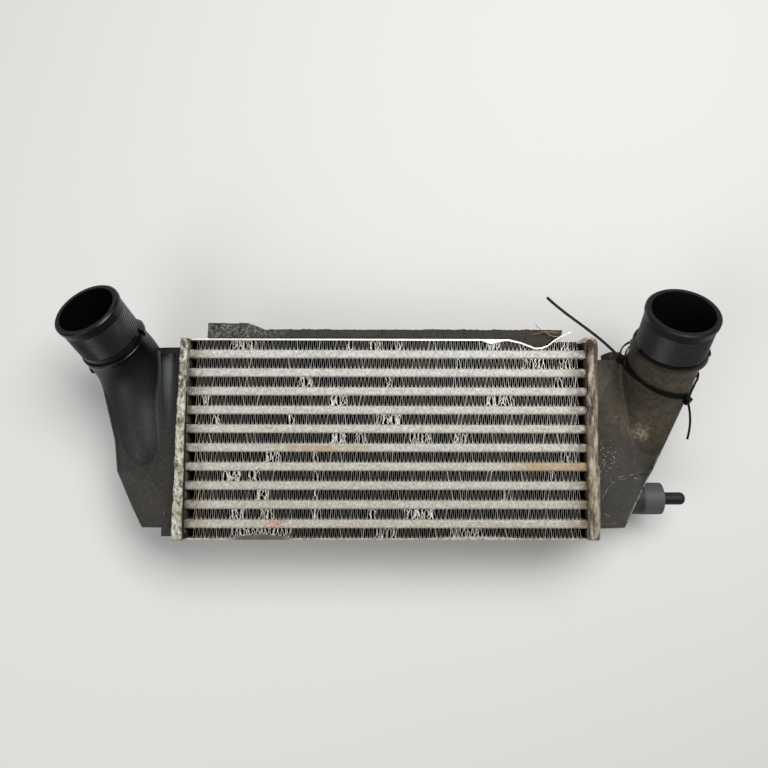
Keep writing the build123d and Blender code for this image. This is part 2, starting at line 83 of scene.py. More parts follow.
def new_material(name, specular=0.5, **settings):
    """A material with one principled shader; gives it with its tree, shader and object coordinates."""
    material = bpy.data.materials.new(name)
    material.use_nodes = True
    tree = material.node_tree
    tree.nodes.clear()
    shader = add(tree, "BsdfPrincipled", {"Specular IOR Level": specular, **settings})
    add(tree, "OutputMaterial", links={"Surface": shader})
    return material, tree, shader, add(tree, "TexCoord").outputs["Object"]


def blotches(tree, place, size, share, edge=0.08, detail=5.0, seed=0.0):
    """Mask of irregular blotches of a size in mm that cover about a share of the surface."""
    cloud = add(tree, "TexNoise", {"noise_dimensions": "4D", "Scale": 1 / (size * MM), "W": seed,
                                   "Detail": detail, "Roughness": 0.62}, {"Vector": place})
    level = 0.5 + 0.32 * (0.5 - share)      # nearly all of the noise lies between 0.34 and 0.66
    return add(tree, "MapRange", {"From Min": level - edge, "From Max": level + edge}, {"Value": cloud})


def near(tree, place, point, reach, ragged=0.0):
    """Mask that fades from 1 at a point in mm to 0 at its reach, with a ragged rim."""
    away = add(tree, "VectorMath", {"operation": "DISTANCE", 1: Vector(point) * MM}, {0: place})
    cloud = add(tree, "TexNoise", {"Scale": 2.5 / (reach * MM), "Detail": 5.0}, {"Vector": place})
    wobble = add(tree, "Math", {"operation": "MULTIPLY_ADD", 1: ragged * MM, 2: -ragged * MM / 2},
                 {0: cloud})
    total = add(tree, "Math", {"operation": "ADD"}, {0: away.outputs["Value"], 1: wobble})
    return add(tree, "MapRange", {"From Min": reach * MM, "From Max": 0.0}, {"Value": total})


def ramp_along(tree, place, axis, start, end):
    """Mask that grows from 0 at one place in mm along an axis to 1 at another."""
    parts = add(tree, "SeparateXYZ", links={"Vector": place})
    return add(tree, "MapRange", {"From Min": start * MM, "From Max": end * MM},
               {"Value": parts.outputs[axis]})


def band_along(tree, place, axis, start, full, still, end):
    """Mask that grows between two places in mm along an axis and fades again between two more."""
    return overlap(tree, ramp_along(tree, place, axis, start, full),
                   ramp_along(tree, place, axis, end, still))


def overlap(tree, *masks):
    """Mask that holds only where all of several masks do."""
    shared = masks[0]
    for mask in masks[1:]:
        shared = add(tree, "Math", {"operation": "MULTIPLY", "use_clamp": True}, {0: shared, 1: mask})
    return shared


def either(tree, *masks):
    """The strongest of several masks."""
    strongest = masks[0]
    for mask in masks[1:]:
        strongest = add(tree, "Math", {"operation": "MAXIMUM"}, {0: strongest, 1: mask})
    return strongest


def behind_mouth(tree, place, spigot):
    """The way from the middle of a spigot's mouth to the shaded point, and the spigot's axis out of it."""
    mouth, axis = spigot
    way = add(tree, "VectorMath", {"operation": "SUBTRACT", 1: Vector(mouth) * MM}, {0: place})
    return way, Vector(axis).normalized()


def along_spigot(tree, place, spigot, start, end, clamp=True):
    """Mask that grows from 0 to 1 along a spigot's axis, between two depths in mm behind its mouth."""
    way, axis = behind_mouth(tree, place, spigot)
    depth = add(tree, "VectorMath", {"operation": "DOT_PRODUCT", 1: -axis}, {0: way})
    return add(tree, "MapRange", {"From Min": start * MM, "From Max": end * MM, "clamp": clamp},
               {"Value": depth.outputs["Value"]})


def off_axis(tree, place, spigot, start, end):
    """Mask that grows from 0 to 1 between two distances in mm from a spigot's axis."""
    way, axis = behind_mouth(tree, place, spigot)
    across = add(tree, "VectorMath", {"operation": "CROSS_PRODUCT", 1: axis}, {0: way})
    away = add(tree, "VectorMath", {"operation": "LENGTH"}, {0: across})
    return add(tree, "MapRange", {"From Min": start * MM, "From Max": end * MM},
               {"Value": away.outputs["Value"]})


def rib_crests(tree, place, spigot):
    """Mask that is 1 on the crests of the ribs that grip the hose."""
    last = RIB_START + RIB_COUNT * RIB_PITCH
    turns = along_spigot(tree, place, spigot, RIB_START, RIB_START + RIB_PITCH, clamp=False)
    crest = add(tree, "Math", {"operation": "PINGPONG", 1: 0.5}, {0: turns})
    return overlap(tree,
                   off_axis(tree, place, spigot, *BARREL_SKIN),
                   along_spigot(tree, place, spigot, RIB_START - RIB_FADE, RIB_START),
                   along_spigot(tree, place, spigot, last + RIB_FADE, last),
                   add(tree, "MapRange", {"From Min": 0.22, "From Max": 0.46}, {"Value": crest}))


def scratches(tree, place, lines, width, seed=0.0, waver=3.0):
    """Mask of broken lines seen from above, each through points (x, y), that waver; all in mm."""
    warp = add(tree, "TexNoise", {"noise_dimensions": "4D", "Scale": 1 / (6 * MM), "W": seed},
               {"Vector": place})
    sway = add(tree, "VectorMath", {"operation": "MULTIPLY_ADD", 1: Vector((waver, waver, 0)) * MM,
                                    2: Vector((-waver, -waver, 0)) * MM / 2}, {0: warp.outputs["Color"]})
    flat = add(tree, "VectorMath", {"operation": "MULTIPLY_ADD", 1: (1, 1, 0)}, {0: place, 2: sway})
    runs = []
    for line in lines:
        for start, end in zip(line, line[1:]):
            a, b = Vector((*start, 0)) * MM, Vector((*end, 0)) * MM
            off = add(tree, "VectorMath", {"operation": "SUBTRACT", 1: a}, {0: flat})
            per_length = (b - a) / (b - a).length_squared
            share = add(tree, "VectorMath", {"operation": "DOT_PRODUCT", 1: per_length}, {0: off})
            kept = add(tree, "Clamp", links={"Value": share.outputs["Value"]})
            foot = add(tree, "VectorMath", {"operation": "MULTIPLY", 0: b - a}, {1: kept})
            away = add(tree, "VectorMath", {"operation": "DISTANCE"}, {0: off, 1: foot})
            runs.append(add(tree, "MapRange", {"From Min": width * MM, "From Max": width * MM / 3},
                            {"Value": away.outputs["Value"]}))
    gaps = blotches(tree, place, 3.5, 0.45, edge=0.1, seed=seed + 5)
    return overlap(tree, either(tree, *runs), gaps)


def coloured(tree, shader, base, layers):
    """Give a shader a colour built from a base and (mask, colour, strength) layers laid over it."""
    colour = None
    for mask, top, strength in layers:
        amount = add(tree, "Math", {"operation": "MULTIPLY", 1: strength}, {0: mask})
        mix = add(tree, "Mix", {"data_type": "RGBA", 6: linear(base), 7: linear(top)}, {0: amount})
        if colour:
            tree.links.new(colour, mix.inputs[6])
        colour = mix.outputs[2]
    tree.links.new(colour, shader.inputs["Base Color"])


def roughened(tree, shader, place, grains):
    """Give a shader a bump from grains, each (size in mm, height in mm), one on top of the other."""
    normal = None
    for size, height in grains:
        cloud = add(tree, "TexNoise", {"Scale": 1 / (size * MM), "Detail": 3.0}, {"Vector": place})
        bump = add(tree, "Bump", {"Strength": 1.0, "Distance": height * MM}, {"Height": cloud})
        if normal:
            tree.links.new(normal, bump.inputs["Normal"])
        normal = bump.outputs["Normal"]
    tree.links.new(normal, shader.inputs["Normal"])


def glossier_spigot(tree, shader, place, spigot, start, end, gloss, dull):
    """Give a shader a roughness that goes from gloss to dull between two depths in mm behind a mouth."""
    satin = add(tree, "MapRange", {"To Min": gloss, "To Max": dull},
                {"Value": along_spigot(tree, place, spigot, start, end)})
    tree.links.new(satin.outputs[0], shader.inputs["Roughness"])


# ---------------------------------------------------------------- materials
# Oxide speckle, foam cells, dust and the grain of moulded skins are well under a millimetre on the real
# thing.  A pixel covers 0.75 mm, so they are drawn coarser here, at about 1 to 3 mm, or they wouldn't show.
def chalky_tube_aluminium():
    """Extruded aluminium, brazed and left bare: it oxidises to a pale, dull, slightly warm grey."""
    material, tree, shader, place = new_material("chalky_tube_aluminium", Metallic=0.2, Roughness=0.6)
    drawn_out = add(tree, "Mapping", {"Scale": (0.12, 1.0, 1.0)}, {"Vector": place})
    dirt = blotches(tree, place, 4, 0.7, edge=0.12)
    rust = overlap(tree, band_along(tree, place, "Y", -28, -26, -16, -14),
                   ramp_along(tree, place, "X", 228, 262), blotches(tree, place, 12, 0.75, edge=0.2))
    olive_stain = overlap(tree, band_along(tree, place, "Y", -16, -14, -6, -4),
                          band_along(tree, place, "X", 62, 84, 116, 150), blotches(tree, place, 9, 0.7))
    red_mark = overlap(tree, near(tree, place, (68.4, -63.4, 74), 8.5, 4),
                       blotches(tree, place, 2.0, 0.5, edge=0.03, seed=8))
    brown_mark = overlap(tree, near(tree, place, (74, -60.5, 74), 5, 2),
                         blotches(tree, place, 1.2, 0.45, edge=0.03, seed=4))
    coloured(tree, shader, "#D3D3D2", [
        (ramp_along(tree, place, "Y", 60, -66), "#ACA699", 0.95),
        (blotches(tree, drawn_out, 2.2, 0.45, edge=0.2), "#A9A598", 0.45),
        (blotches(tree, place, 30, 0.4, edge=0.2, seed=3), "#B9AE97", 0.45),
        (blotches(tree, place, 1.5, 0.4, edge=0.08, seed=9), "#E6E3DC", 0.5),
        (blotches(tree, place, 1.7, 0.42, edge=0.07, seed=5), "#857E70", 0.5),
        (olive_stain, "#A08552", 0.6),
        (overlap(tree, ramp_along(tree, place, "X", 20, 3), dirt), "#5E4E38", 0.9),
        (overlap(tree, ramp_along(tree, place, "X", 282, 299), dirt), "#5B4731", 0.9),
        (rust, "#A6804A", 0.75),
        (red_mark, "#BE6A50", 0.9),
        (brown_mark, "#51433A", 0.9),
    ])
    roughened(tree, shader, place, [(0.9, 0.1), (5.0, 0.12)])
    return material


def folded_fin_aluminium():
    """Thin folded aluminium: bare on its outer edges and where it was knocked, with painted shine on some
    legs and a painted highlight on its low folds; below its face it is painted near black, as the shade
    between the fins.
    """
    material, tree, shader, place = new_material("folded_fin_aluminium", Metallic=0.5, Roughness=0.45)
    # the bare attribute holds the knock wear together with the painted shine and the painted highlight of
    # the low folds
    bare = add(tree, "Attribute", {"attribute_name": "bare"}).outputs["Fac"]
    neither_bare_nor_lit = add(tree, "Math", {"operation": "SUBTRACT", 0: 1.0, "use_clamp": True}, {1: bare})
    bottom_row = overlap(tree, ramp_along(tree, place, "Y", -60, -67),
                         blotches(tree, place, 14, 0.5, edge=0.1, seed=3))
    coloured(tree, shader, "#A8A39A", [
        (blotches(tree, place, 9, 0.5, edge=0.2), "#6C6861", 0.7),
        (ramp_along(tree, place, "X", 26, 6), "#9C8C6C", 0.7),
        (bottom_row, "#8F7654", 0.7),
        # painted shade: near black just below the face and black further down, the shade between the fins
        (overlap(tree, ramp_along(tree, place, "Z", 73.0, 72.5), neither_bare_nor_lit), "#0C0B09", 0.97),
        (ramp_along(tree, place, "Z", 72.8, 71.0), "#030303", 0.98),
        # pale where knocked bare, and painted highlight where a leg's shine or a low fold is marked
        (overlap(tree, bare, ramp_along(tree, place, "Z", 70.5, 72)), "#DAD6CB", 0.9),
    ])
    return material


def plate_aluminium():
    """Rolled aluminium side plate: nearly white where it is rubbed bare at the face, with painted shade
    below it.
    """
    material, tree, shader, place = new_material("plate_aluminium", Metallic=0.3, Roughness=0.4)
    bottom_dent = overlap(tree, band_along(tree, place, "X", 33, 42, 74, 83),
                          ramp_along(tree, place, "Y", -60, -61), ramp_along(tree, place, "Z", 69, 70))
    tan_end = overlap(tree, ramp_along(tree, place, "X", 232, 262),
                      blotches(tree, place, 3, 0.6, edge=0.1, seed=2))
    coloured(tree, shader, "#F4F3F0", [
        (blotches(tree, place, 7, 0.3, edge=0.15), "#CFC8BA", 0.5),
        # painted shade: darker down the plate's sides below the face
        (ramp_along(tree, place, "Z", 73.4, 66), "#77705F", 0.9),
        (tan_end, "#B5AA97", 0.8),
        (ramp_along(tree, place, "Y", -60, -76), "#8F8672", 0.75),
        (overlap(tree, ramp_along(tree, place, "Y", -60, -72), blotches(tree, place, 3, 0.4)),
         "#5A4D3C", 0.6),
        (overlap(tree, bottom_dent, ramp_along(tree, place, "Z", 73.5, 72.5)), "#C9BBA2", 0.8),
        # painted shadow: a dark line along the top of the dent
        (overlap(tree, bottom_dent, ramp_along(tree, place, "Z", 73.0, 73.7)), "#41362A", 0.85),
    ])
    roughened(tree, shader, place, [(1.2, 0.08), (9.0, 0.3)])
    return material


def header_aluminium(name, base, chalk, dull, moss, pits_and_shade, streak, seed):
    """Pressed aluminium header, corroded to a mottled, matt crust that runs in streaks along it."""
    material, tree, shader, place = new_material(name, specular=0.3, Metallic=0.1, Roughness=0.75)
    streaked = add(tree, "Mapping", {"Scale": (1.0, streak, 1.0)}, {"Vector": place})
    pitted_end = overlap(tree, ramp_along(tree, place, "Y", 20, 70),
                         blotches(tree, place, 6, 0.6, edge=0.06, seed=seed + 6))
    coloured(tree, shader, base, [
        (blotches(tree, streaked, 6, 0.5, edge=0.06, seed=seed), chalk, 0.9),
        (blotches(tree, streaked, 3.2, 0.45, edge=0.05, seed=seed + 1), dull, 0.8),
        (blotches(tree, streaked, 5, 0.34, edge=0.06, seed=seed + 2), moss, 0.85),
        (pitted_end, pits_and_shade, 0.75),
        (blotches(tree, streaked, 2.6, 0.4, edge=0.04, seed=seed + 4), chalk, 0.85),
        (blotches(tree, streaked, 2.6, 0.28, edge=0.06, seed=seed + 3), pits_and_shade, 0.8),
        # painted shade: the right header darker towards its outer side, both headers darker down their
        # sides and near black below the face
        (ramp_along(tree, place, "X", 303, 308), dull, 0.6),
        (ramp_along(tree, place, "Z", 77, 72), pits_and_shade, 0.6),
        (ramp_along(tree, place, "Z", 74, 66), "#0E0C09", 0.95),
    ])
    roughened(tree, shader, place, [(1.0, 0.2), (4.0, 0.4)])
    return material


def bent_tab_aluminium():
    """Aluminium torn and bent fresh: pinkish tan where its coat flaked, pale on the fold."""
    material, tree, shader, place = new_material("bent_tab_aluminium", Metallic=0.1, Roughness=0.7)
    coloured(tree, shader, "#A08775", [
        (blotches(tree, place, 3, 0.45, edge=0.08), "#D3C2B2", 0.8),
        (blotches(tree, place, 2.4, 0.3, edge=0.06, seed=2), "#6B5546", 0.8),
    ])
    roughened(tree, shader, place, [(1.0, 0.2)])
    return material


def moulded_nylon_left():
    """Glass-filled nylon, moulded: near black with a satin skin, filmed with grey and olive dirt low down.

    The crests of its hose ribs catch the light, most on the side towards the core."""
    material, tree, shader, place = new_material("moulded_nylon_left", specular=0.28, IOR=1.53)
    glossier_spigot(tree, shader, place, LEFT_SPIGOT, 38, 55, 0.3, 0.5)
    rib_sheen = overlap(tree, band_along(tree, place, "X", -20, -15, -13, -9),
                        band_along(tree, place, "Y", 20, 48, 56, 62))
    grey_film = overlap(tree, ramp_along(tree, place, "Y", 30, -40),
                        blotches(tree, place, 26, 0.6, edge=0.25, seed=1))
    facet = overlap(tree, ramp_along(tree, place, "Y", -26, -40),
                    blotches(tree, place, 20, 0.8, edge=0.3, seed=7))
    grime = overlap(tree, ramp_along(tree, place, "Y", 40, -10),
                    blotches(tree, place, 2.2, 0.4, edge=0.08, seed=4))
    # painted highlight: a pale line along the ridge between the lower facet and the band by the header
    crease = scratches(tree, place, [
        [(-22.0, -36.8), (-18.6, -41.5), (-16.4, -47.5), (-14.9, -55.5), (-15.3, -62)]], 0.5)
    crests = rib_crests(tree, place, LEFT_SPIGOT)
    coloured(tree, shader, "#080809", [
        (ramp_along(tree, place, "Y", 66, 30), "#141515", 0.9),
        (overlap(tree, ramp_along(tree, place, "Y", 60, 20), blotches(tree, place, 16, 0.5, edge=0.2)),
         "#191A1A", 0.6),
        (rib_sheen, "#55595A", 0.75),
        (grey_film, "#343532", 0.75),
        (facet, "#15130F", 0.9),
        (near(tree, place, (-21, -46, 60), 17, 9), "#332A1F", 0.85),
        (grime, "#474437", 0.3),
        (crease, "#8C806B", 0.7),
        (crests, "#3F4144", 0.7),
        (overlap(tree, near(tree, place, (-40, 87, 98), 17, 9), crests), "#A5A8AD", 0.8),
    ])
    roughened(tree, shader, place, [(0.8, 0.04), (7.0, 0.2)])
    return material


# where the right tank is scratched, seen from above
WORN_LINES = [
    [(322, 16), (327, 18), (330, 12), (333, 8), (334, 3)], [(329, 14), (333, 9)],
    [(331, 20), (327, 10), (330, 2)], [(336, 1), (341, 1), (346, 3)],
    [(337, -2), (339, -12), (338, -20)], [(334, 3), (337, -4)],
]
POCKET_RIM = [
    [(313, -44), (316, -38), (321, -33), (327, -30.5), (335, -29.6), (344, -30)],
    [(325, -29), (334, -27.6), (341, -26.5)],
    [(314, -56), (319, -58), (324, -55)], [(308, -62), (318, -64), (327, -62)],
]
# painted highlight: the line along the tank's slanted edge, seen from above
LIT_EDGE_LINE = [[(368.1, 6.5), (333.7, -61.7)]]


def moulded_nylon_right():
    """The same nylon, scuffed, scratched to grey and caked with olive-brown road dust round the neck, with
    painted highlights along its slanted edge and on the crests of its hose ribs.
    """
    material, tree, shader, place = new_material("moulded_nylon_right", specular=0.3, IOR=1.53)
    glossier_spigot(tree, shader, place, RIGHT_SPIGOT, 34, 40, 0.38, 0.55)
    outside_bore = either(tree, off_axis(tree, place, RIGHT_SPIGOT, 24, 26),
                          ramp_along(tree, place, "Z", 84, 80))
    off_boss = either(tree, ramp_along(tree, place, "Y", -26, -10),
                      ramp_along(tree, place, "X", 346, 340))
    body = overlap(tree, along_spigot(tree, place, RIGHT_SPIGOT, 31, 35), outside_bore, off_boss)
    face = overlap(tree, body, ramp_along(tree, place, "X", 392, 372))
    neck_dust = overlap(tree, body, near(tree, place, (352, 34, 90), 62, 22))
    low_face = overlap(tree, ramp_along(tree, place, "Y", 6, -26),
                       ramp_along(tree, place, "X", 352, 342))
    stain_fleck = overlap(tree, near(tree, place, (340, 3.5, 74), 9, 5),
                          blotches(tree, place, 2.6, 0.45, edge=0.04, seed=3))
    # painted highlight along the top of the slanted edge
    lit_edge = overlap(tree, ramp_along(tree, place, "Z", 57, 60),
                        scratches(tree, place, LIT_EDGE_LINE, 1.4, seed=3, waver=0.3))
    pale_flecks = overlap(tree, near(tree, place, (316, -17, 72), 20, 12),
                          blotches(tree, place, 1.1, 0.03, edge=0.03, detail=1.0, seed=4))
    at_boss = ramp_along(tree, place, "Y", -22, -26)
    boss = overlap(tree, ramp_along(tree, place, "X", 349, 352), at_boss)
    pin = overlap(tree, ramp_along(tree, place, "X", 365.5, 366.5), at_boss)
    coloured(tree, shader, "#111111", [
        (face, "#322D26", 0.85),
        (overlap(tree, face, blotches(tree, place, 12, 0.45, edge=0.15, seed=2)), "#443C30", 0.7),
        (overlap(tree, neck_dust, blotches(tree, place, 30, 0.8, edge=0.2, seed=9)), "#585042", 0.85),
        (overlap(tree, neck_dust, blotches(tree, place, 7, 0.45, edge=0.15, seed=6)), "#665B4A", 0.7),
        (overlap(tree, body, blotches(tree, place, 3, 0.4, edge=0.08, seed=7)), "#2A2620", 0.5),
        (low_face, "#3D3B37", 0.85),
        (overlap(tree, low_face, blotches(tree, place, 9, 0.45, edge=0.15, seed=12)), "#4C4943", 0.6),
        (near(tree, place, (340, 3, 74), 9, 6), "#6E5C49", 0.9),
        (stain_fleck, "#A8977E", 0.85),
        (scratches(tree, place, WORN_LINES, 0.4, seed=2), "#948A78", 0.38),
        (scratches(tree, place, POCKET_RIM, 0.45, seed=11), "#9A9993", 0.65),
        # painted highlight along the slanted edge
        (lit_edge, "#A5A39B", 0.8),
        # painted highlight on the crests of the hose ribs
        (rib_crests(tree, place, RIGHT_SPIGOT), "#4E4E4E", 0.7),
        (pale_flecks, "#C9C7BE", 0.85),
        (boss, "#5A5A5B", 0.8),
        (pin, "#141414", 0.95),
    ])
    roughened(tree, shader, place, [(0.8, 0.06), (5.0, 0.3)])
    return material


def seal_foam():
    """Open-celled polyurethane foam: dark grey, matt and pitted, bleached and dusty at its thick pad."""
    material, tree, shader, place = new_material("seal_foam", specular=0.1, Roughness=0.95)
    pad = ramp_along(tree, place, "X", 84, 50)
    torn_end = overlap(tree, ramp_along(tree, place, "X", 236, 262),
                       blotches(tree, place, 8, 0.5, edge=0.1, seed=5))
    coloured(tree, shader, "#41413D", [
        (blotches(tree, place, 18, 0.45, edge=0.2), "#373735", 0.7),
        (blotches(tree, place, 30, 0.35, edge=0.15, seed=6), "#4F493F", 0.6),
        (pad, "#504F49", 0.8),
        (overlap(tree, pad, blotches(tree, place, 2.0, 0.4, edge=0.05, seed=2)), "#85837A", 0.75),
        (overlap(tree, pad, blotches(tree, place, 1.7, 0.35, edge=0.05, seed=8)), "#23221F", 0.8),
        (blotches(tree, place, 1.4, 0.2, edge=0.05, seed=3), "#161615", 0.8),
        (torn_end, "#4A3F33", 0.6),
    ])
    roughened(tree, shader, place, [(0.8, 0.3)])
    return material


def torn_fibre():
    """Torn cloth backing of the foam: matt tan threads, browner in places."""
    material, tree, shader, place = new_material("torn_fibre", Roughness=0.9)
    coloured(tree, shader, "#9C8570", [(blotches(tree, place, 3, 0.5, edge=0.1), "#6D5546", 0.8)])
    return material


def tie_nylon():
    """Moulded nylon cable tie: plain black with a soft shine."""
    material, tree, shader, place = new_material("tie_nylon", specular=0.12, Roughness=0.5, IOR=1.53)
    shader.inputs["Base Color"].default_value = linear("#070707")
    roughened(tree, shader, place, [(0.6, 0.02)])
    return material


def gasket_rubber():
    """Moulded rubber ring, black and matt."""
    material, tree, shader, place = new_material("gasket_rubber", Roughness=0.8, IOR=1.52)
    shader.inputs["Base Color"].default_value = linear("#121212")
    roughened(tree, shader, place, [(0.6, 0.05)])
    return material


# ---------------------------------------------------------------- mesh tools
def new_piece(name, mesh, material, slot, *replaced):
    """Link a mesh as a piece of the cooler that stands for the CAD nodes named."""
    piece = bpy.data.objects.new(name, mesh)
    bpy.context.scene.collection.objects.link(piece)
    mesh.materials.clear()
    mesh.materials.append(material)
    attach(piece, "root")
    if replaced:
        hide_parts(*replaced)
    return piece


def smooth(mesh, angle):
    """Smooth shading that breaks at edges sharper than an angle in degrees."""
    work = bmesh.new()
    work.from_mesh(mesh)
    for face in work.faces:
        face.smooth = True
    for edge in work.edges:
        edge.smooth = len(edge.link_faces) == 2 and edge.calc_face_angle(0) < math.radians(angle)
    work.to_mesh(mesh)
    work.free()


def eased(value, start, end):
    """0 at start, 1 at end, with a soft step between."""
    share = min(1.0, max(0.0, (value - start) / (end - start)))
    return share * share * (3 - 2 * share)


def between(value, table):
    """Read a table of (place, amount) rows, sorted by place."""
    if value <= table[0][0]:
        return table[0][1]
    for (a, low), (b, high) in zip(table, table[1:]):
        if value <= b:
            return low + (high - low) * (value - a) / (b - a)
    return table[-1][1]


def fine_copy(node, cell):
    """The CAD node's shape as a dense even mesh with cells of a size in mm."""
    stand_in = bpy.data.objects.new("fine_copy", NODES[node].data.copy())
    bpy.context.scene.collection.objects.link(stand_in)
    remesh = stand_in.modifiers.new("even_mesh", "REMESH")
    remesh.mode = "VOXEL"
    remesh.voxel_size = cell * MM
    evaluated = stand_in.evaluated_get(bpy.context.evaluated_depsgraph_get())
    mesh = bpy.data.meshes.new_from_object(evaluated)
    bpy.data.objects.remove(stand_in)
    return mesh


def with_normals(mesh):
    """Each vertex with its normal, all read before any vertex moves."""
    return list(zip(mesh.vertices, [vertex.normal.copy() for vertex in mesh.vertices]))


def roll(x, y, z, size, seed):
    """Smooth noise from about -1 to 1 over lumps of a size in mm."""
    return noise.noise(Vector((x / size + seed * 7.3, y / size - seed * 3.1, z / size + seed)))


# ---------------------------------------------------------------- fins
FIN_PITCH = 3.05
FIN_SHEET = 0.2
FIN_FOOT = 0.5                                    # half the width of a fold at its foot
FIN_DEPTHS = (0.0, 0.7, 1.6, 3.2, 7.0, 66.0)      # distances below the face where the sheet is followed
LEG_SHARES = (0, 0.25, 0.5, 0.75, 1)              # where a leg is followed from its low end to its high end
ROUND_X, ROUND_Y = 0.71, 0.29                     # a point on the round of a fold, as shares of its radius
PLATE_PROBE = 50.0                                # height above the floor where the side plates are felt
LEAST_FIN = 0.8                                   # what is left of a fin where its plate was pressed in
LEAN_REACH, FOLD_REACH, BARE_REACH = 2.6, 0.75, 1.6     # depths over which leaning, folds and wear die out
# knocked-over stretches of fin: row counted from the bottom, middle along the tubes, half length, force
CRUSHED = [
    (11, 42.8, 9.4, 0.8), (11, 123.0, 2.0, 0.7), (11, 142.1, 3.8, 0.7), (11, 159.0, 3.4, 0.6),
    (11, 230.5, 4.9, 0.9), (11, 285.0, 3.0, 0.6), (9, 89.1, 4.5, 1.0), (9, 152.0, 1.5, 0.7),
    (8, 114.6, 6.0, 1.0), (8, 234.9, 10.5, 0.8), (8, 16.3, 3.0, 0.8), (7, 24.0, 2.4, 1.0),
    (7, 79.4, 2.0, 1.0), (7, 152.7, 9.7, 0.9), (6, 114.5, 5.6, 0.9), (6, 130.8, 3.3, 0.7),
    (6, 176.1, 7.1, 0.8), (6, 205.2, 5.6, 0.7), (5, 65.7, 5.6, 1.0), (5, 98.0, 1.2, 0.8),
    (4, 36.3, 6.3, 1.0), (4, 52.6, 3.3, 1.0), (4, 274.0, 1.2, 0.9), (4, 99.0, 1.2, 0.7),
    (3, 58.3, 4.4, 1.0), (3, 99.0, 1.5, 0.6), (2, 40.9, 5.5, 1.0), (2, 62.0, 5.0, 0.7),
    (2, 99.0, 3.0, 0.6), (2, 140.0, 2.0, 0.7), (2, 175.6, 11.1, 0.8), (1, 58.0, 22.0, 0.6),
    (1, 150.0, 8.0, 0.5), (1, 210.0, 12.0, 0.5), (10, 205.0, 2.0, 0.5), (10, 262.0, 8.0, 0.6),
    (10, 286.0, 5.0, 0.6), (9, 280.0, 4.0, 0.5), (5, 284.0, 3.0, 0.5), (3, 240.0, 4.0, 0.4),
]


def plate_surface(node, toward):
    """A function that gives how high the inner side of a side plate stands at x."""
    tree = BVHTree.FromObject(NODES[node], bpy.context.evaluated_depsgraph_get())

    def height(x):
        hit = tree.ray_cast(Vector((x, 0, PLATE_PROBE * MM)), Vector((0, toward, 0)))[0]
        return hit.y if hit else None
    return height


def level(y):
    """A function that gives the same height at every x."""
    return lambda x: y


def knock_at(row, x):
    """How hard the fin is knocked over at a row and a place in mm."""
    return max([force * eased(abs(x - middle), reach + 1.5, reach - 1.0)
                for where, middle, reach, force in CRUSHED if where == row] + [0.0])


def fin_line(row, floor, ceiling):
    """The fold's line as (x, y, height share, leg number) points, from the left end to the right."""
    low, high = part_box(FIN_ROWS[row - 1])
    pitch, half, foot = FIN_PITCH * MM, FIN_SHEET * MM / 2, FIN_FOOT * MM
    legs = 2 * round((high.x - low.x) / pitch - 0.5)
    first = (low.x + high.x) / 2 - legs * pitch / 4
    points = []
    for leg in range(legs):
        rises = leg % 2 == 0
        fold = first + leg * pitch / 2
        ahead = fold + pitch / 2
        x_low, x_high = (fold + foot, ahead - foot) if rises else (ahead - foot, fold + foot)
        bottom, top = floor(x_low) + half, ceiling(x_high) - half
        lift = min(foot, (top - bottom) / 2)
        ends = [(x_low + (x_high - x_low) * t, bottom + lift + (top - bottom - 2 * lift) * t)
                for t in LEG_SHARES]
        if not rises:
            ends.reverse()
        crest, away = (top, 1) if rises else (bottom, -1)
        ends.append((ahead - foot * ROUND_X, crest - away * lift * ROUND_Y))
        ends.append((ahead, crest))
        ends.append((ahead + foot * ROUND_X, crest - away * lift * ROUND_Y))
        points += [(px, py, (py - bottom) / (top - bottom), leg) for px, py in ends]
    return points[:-3]      # the last leg has no fold after it


def leg_habits(row, legs):
    """For each leg: how far it stands off, which way it falls when knocked, its bow and how much shine is
    painted on it.
    """
    rng = random.Random(100 + row)
    stand_off = [rng.gauss(0, 0.16) for _ in range(legs + 1)]
    fall = [rng.choice((-1, 1, 1)) * rng.uniform(0.5, 1.4) for _ in range(legs + 1)]
    phase = [rng.uniform(-0.9, 0.9) for _ in range(legs + 1)]
    shine = [max(0.0, rng.gauss(-0.3, 0.5)) for _ in range(legs + 1)]
    return list(zip(stand_off, fall, phase, shine))


def fin_edge(row, line, habits, top_z, depth):
    """The fold's line at a depth in mm below the face, as (x, y, z, bareness with painted highlight)
    points.
    """
    leaning, folding = math.exp(-depth / LEAN_REACH), math.exp(-depth / FOLD_REACH)
    points = []
    for x, y, share, leg in line:
        stand_off, fall, phase, shine = habits[leg]
        knock = knock_at(row, x / MM)
        lean = 0.55 * roll(x / MM, row * 31, 0, 14, row) * (share - 0.5) + stand_off * (share - 0.3)
        bow = 0.35 + 0.4 * math.sin(math.pi * share + phase)
        crumple = 1.5 * roll(x / MM, y / MM, row * 13, 1.9, row)
        bent = fall * bow + crumple
        push = (lean * leaning + 1.6 * knock * bent * folding) * MM
        sink = 0.8 * knock * abs(bent) * folding * MM
        # painted highlight: the low folds are marked pale, where light falls into the bottom of each fold
        lit_foot = 0.55 if share < 0.15 else 0
        points.append((x + push, y, top_z - depth * MM - sink, min(1.0, 1.3 * knock + shine + lit_foot)))
    return points


def sheet_sides(work, bare, points, depth):
    """Vertices on both skins of the sheet along a line of points, a little thicker where it is bare and
    where painted highlight lies.
    """
    upper, lower = [], []
    for n, (x, y, z, worn_and_lit) in enumerate(points):
        bx, by = points[max(n - 1, 0)][:2]
        ax, ay = points[min(n + 1, len(points) - 1)][:2]
        length = math.hypot(ax - bx, ay - by) or 1
        wide = FIN_SHEET * MM / 2 * (1 + 0.8 * min(1.0, worn_and_lit) * math.exp(-depth / LEAN_REACH))
        nx, ny = (by - ay) / length * wide, (ax - bx) / length * wide
        for side, sign in ((upper, 1), (lower, -1)):
            vertex = work.verts.new((x + nx * sign, y + ny * sign, z))
            vertex[bare] = worn_and_lit * math.exp(-depth / BARE_REACH)
            side.append(vertex)
    return upper, lower


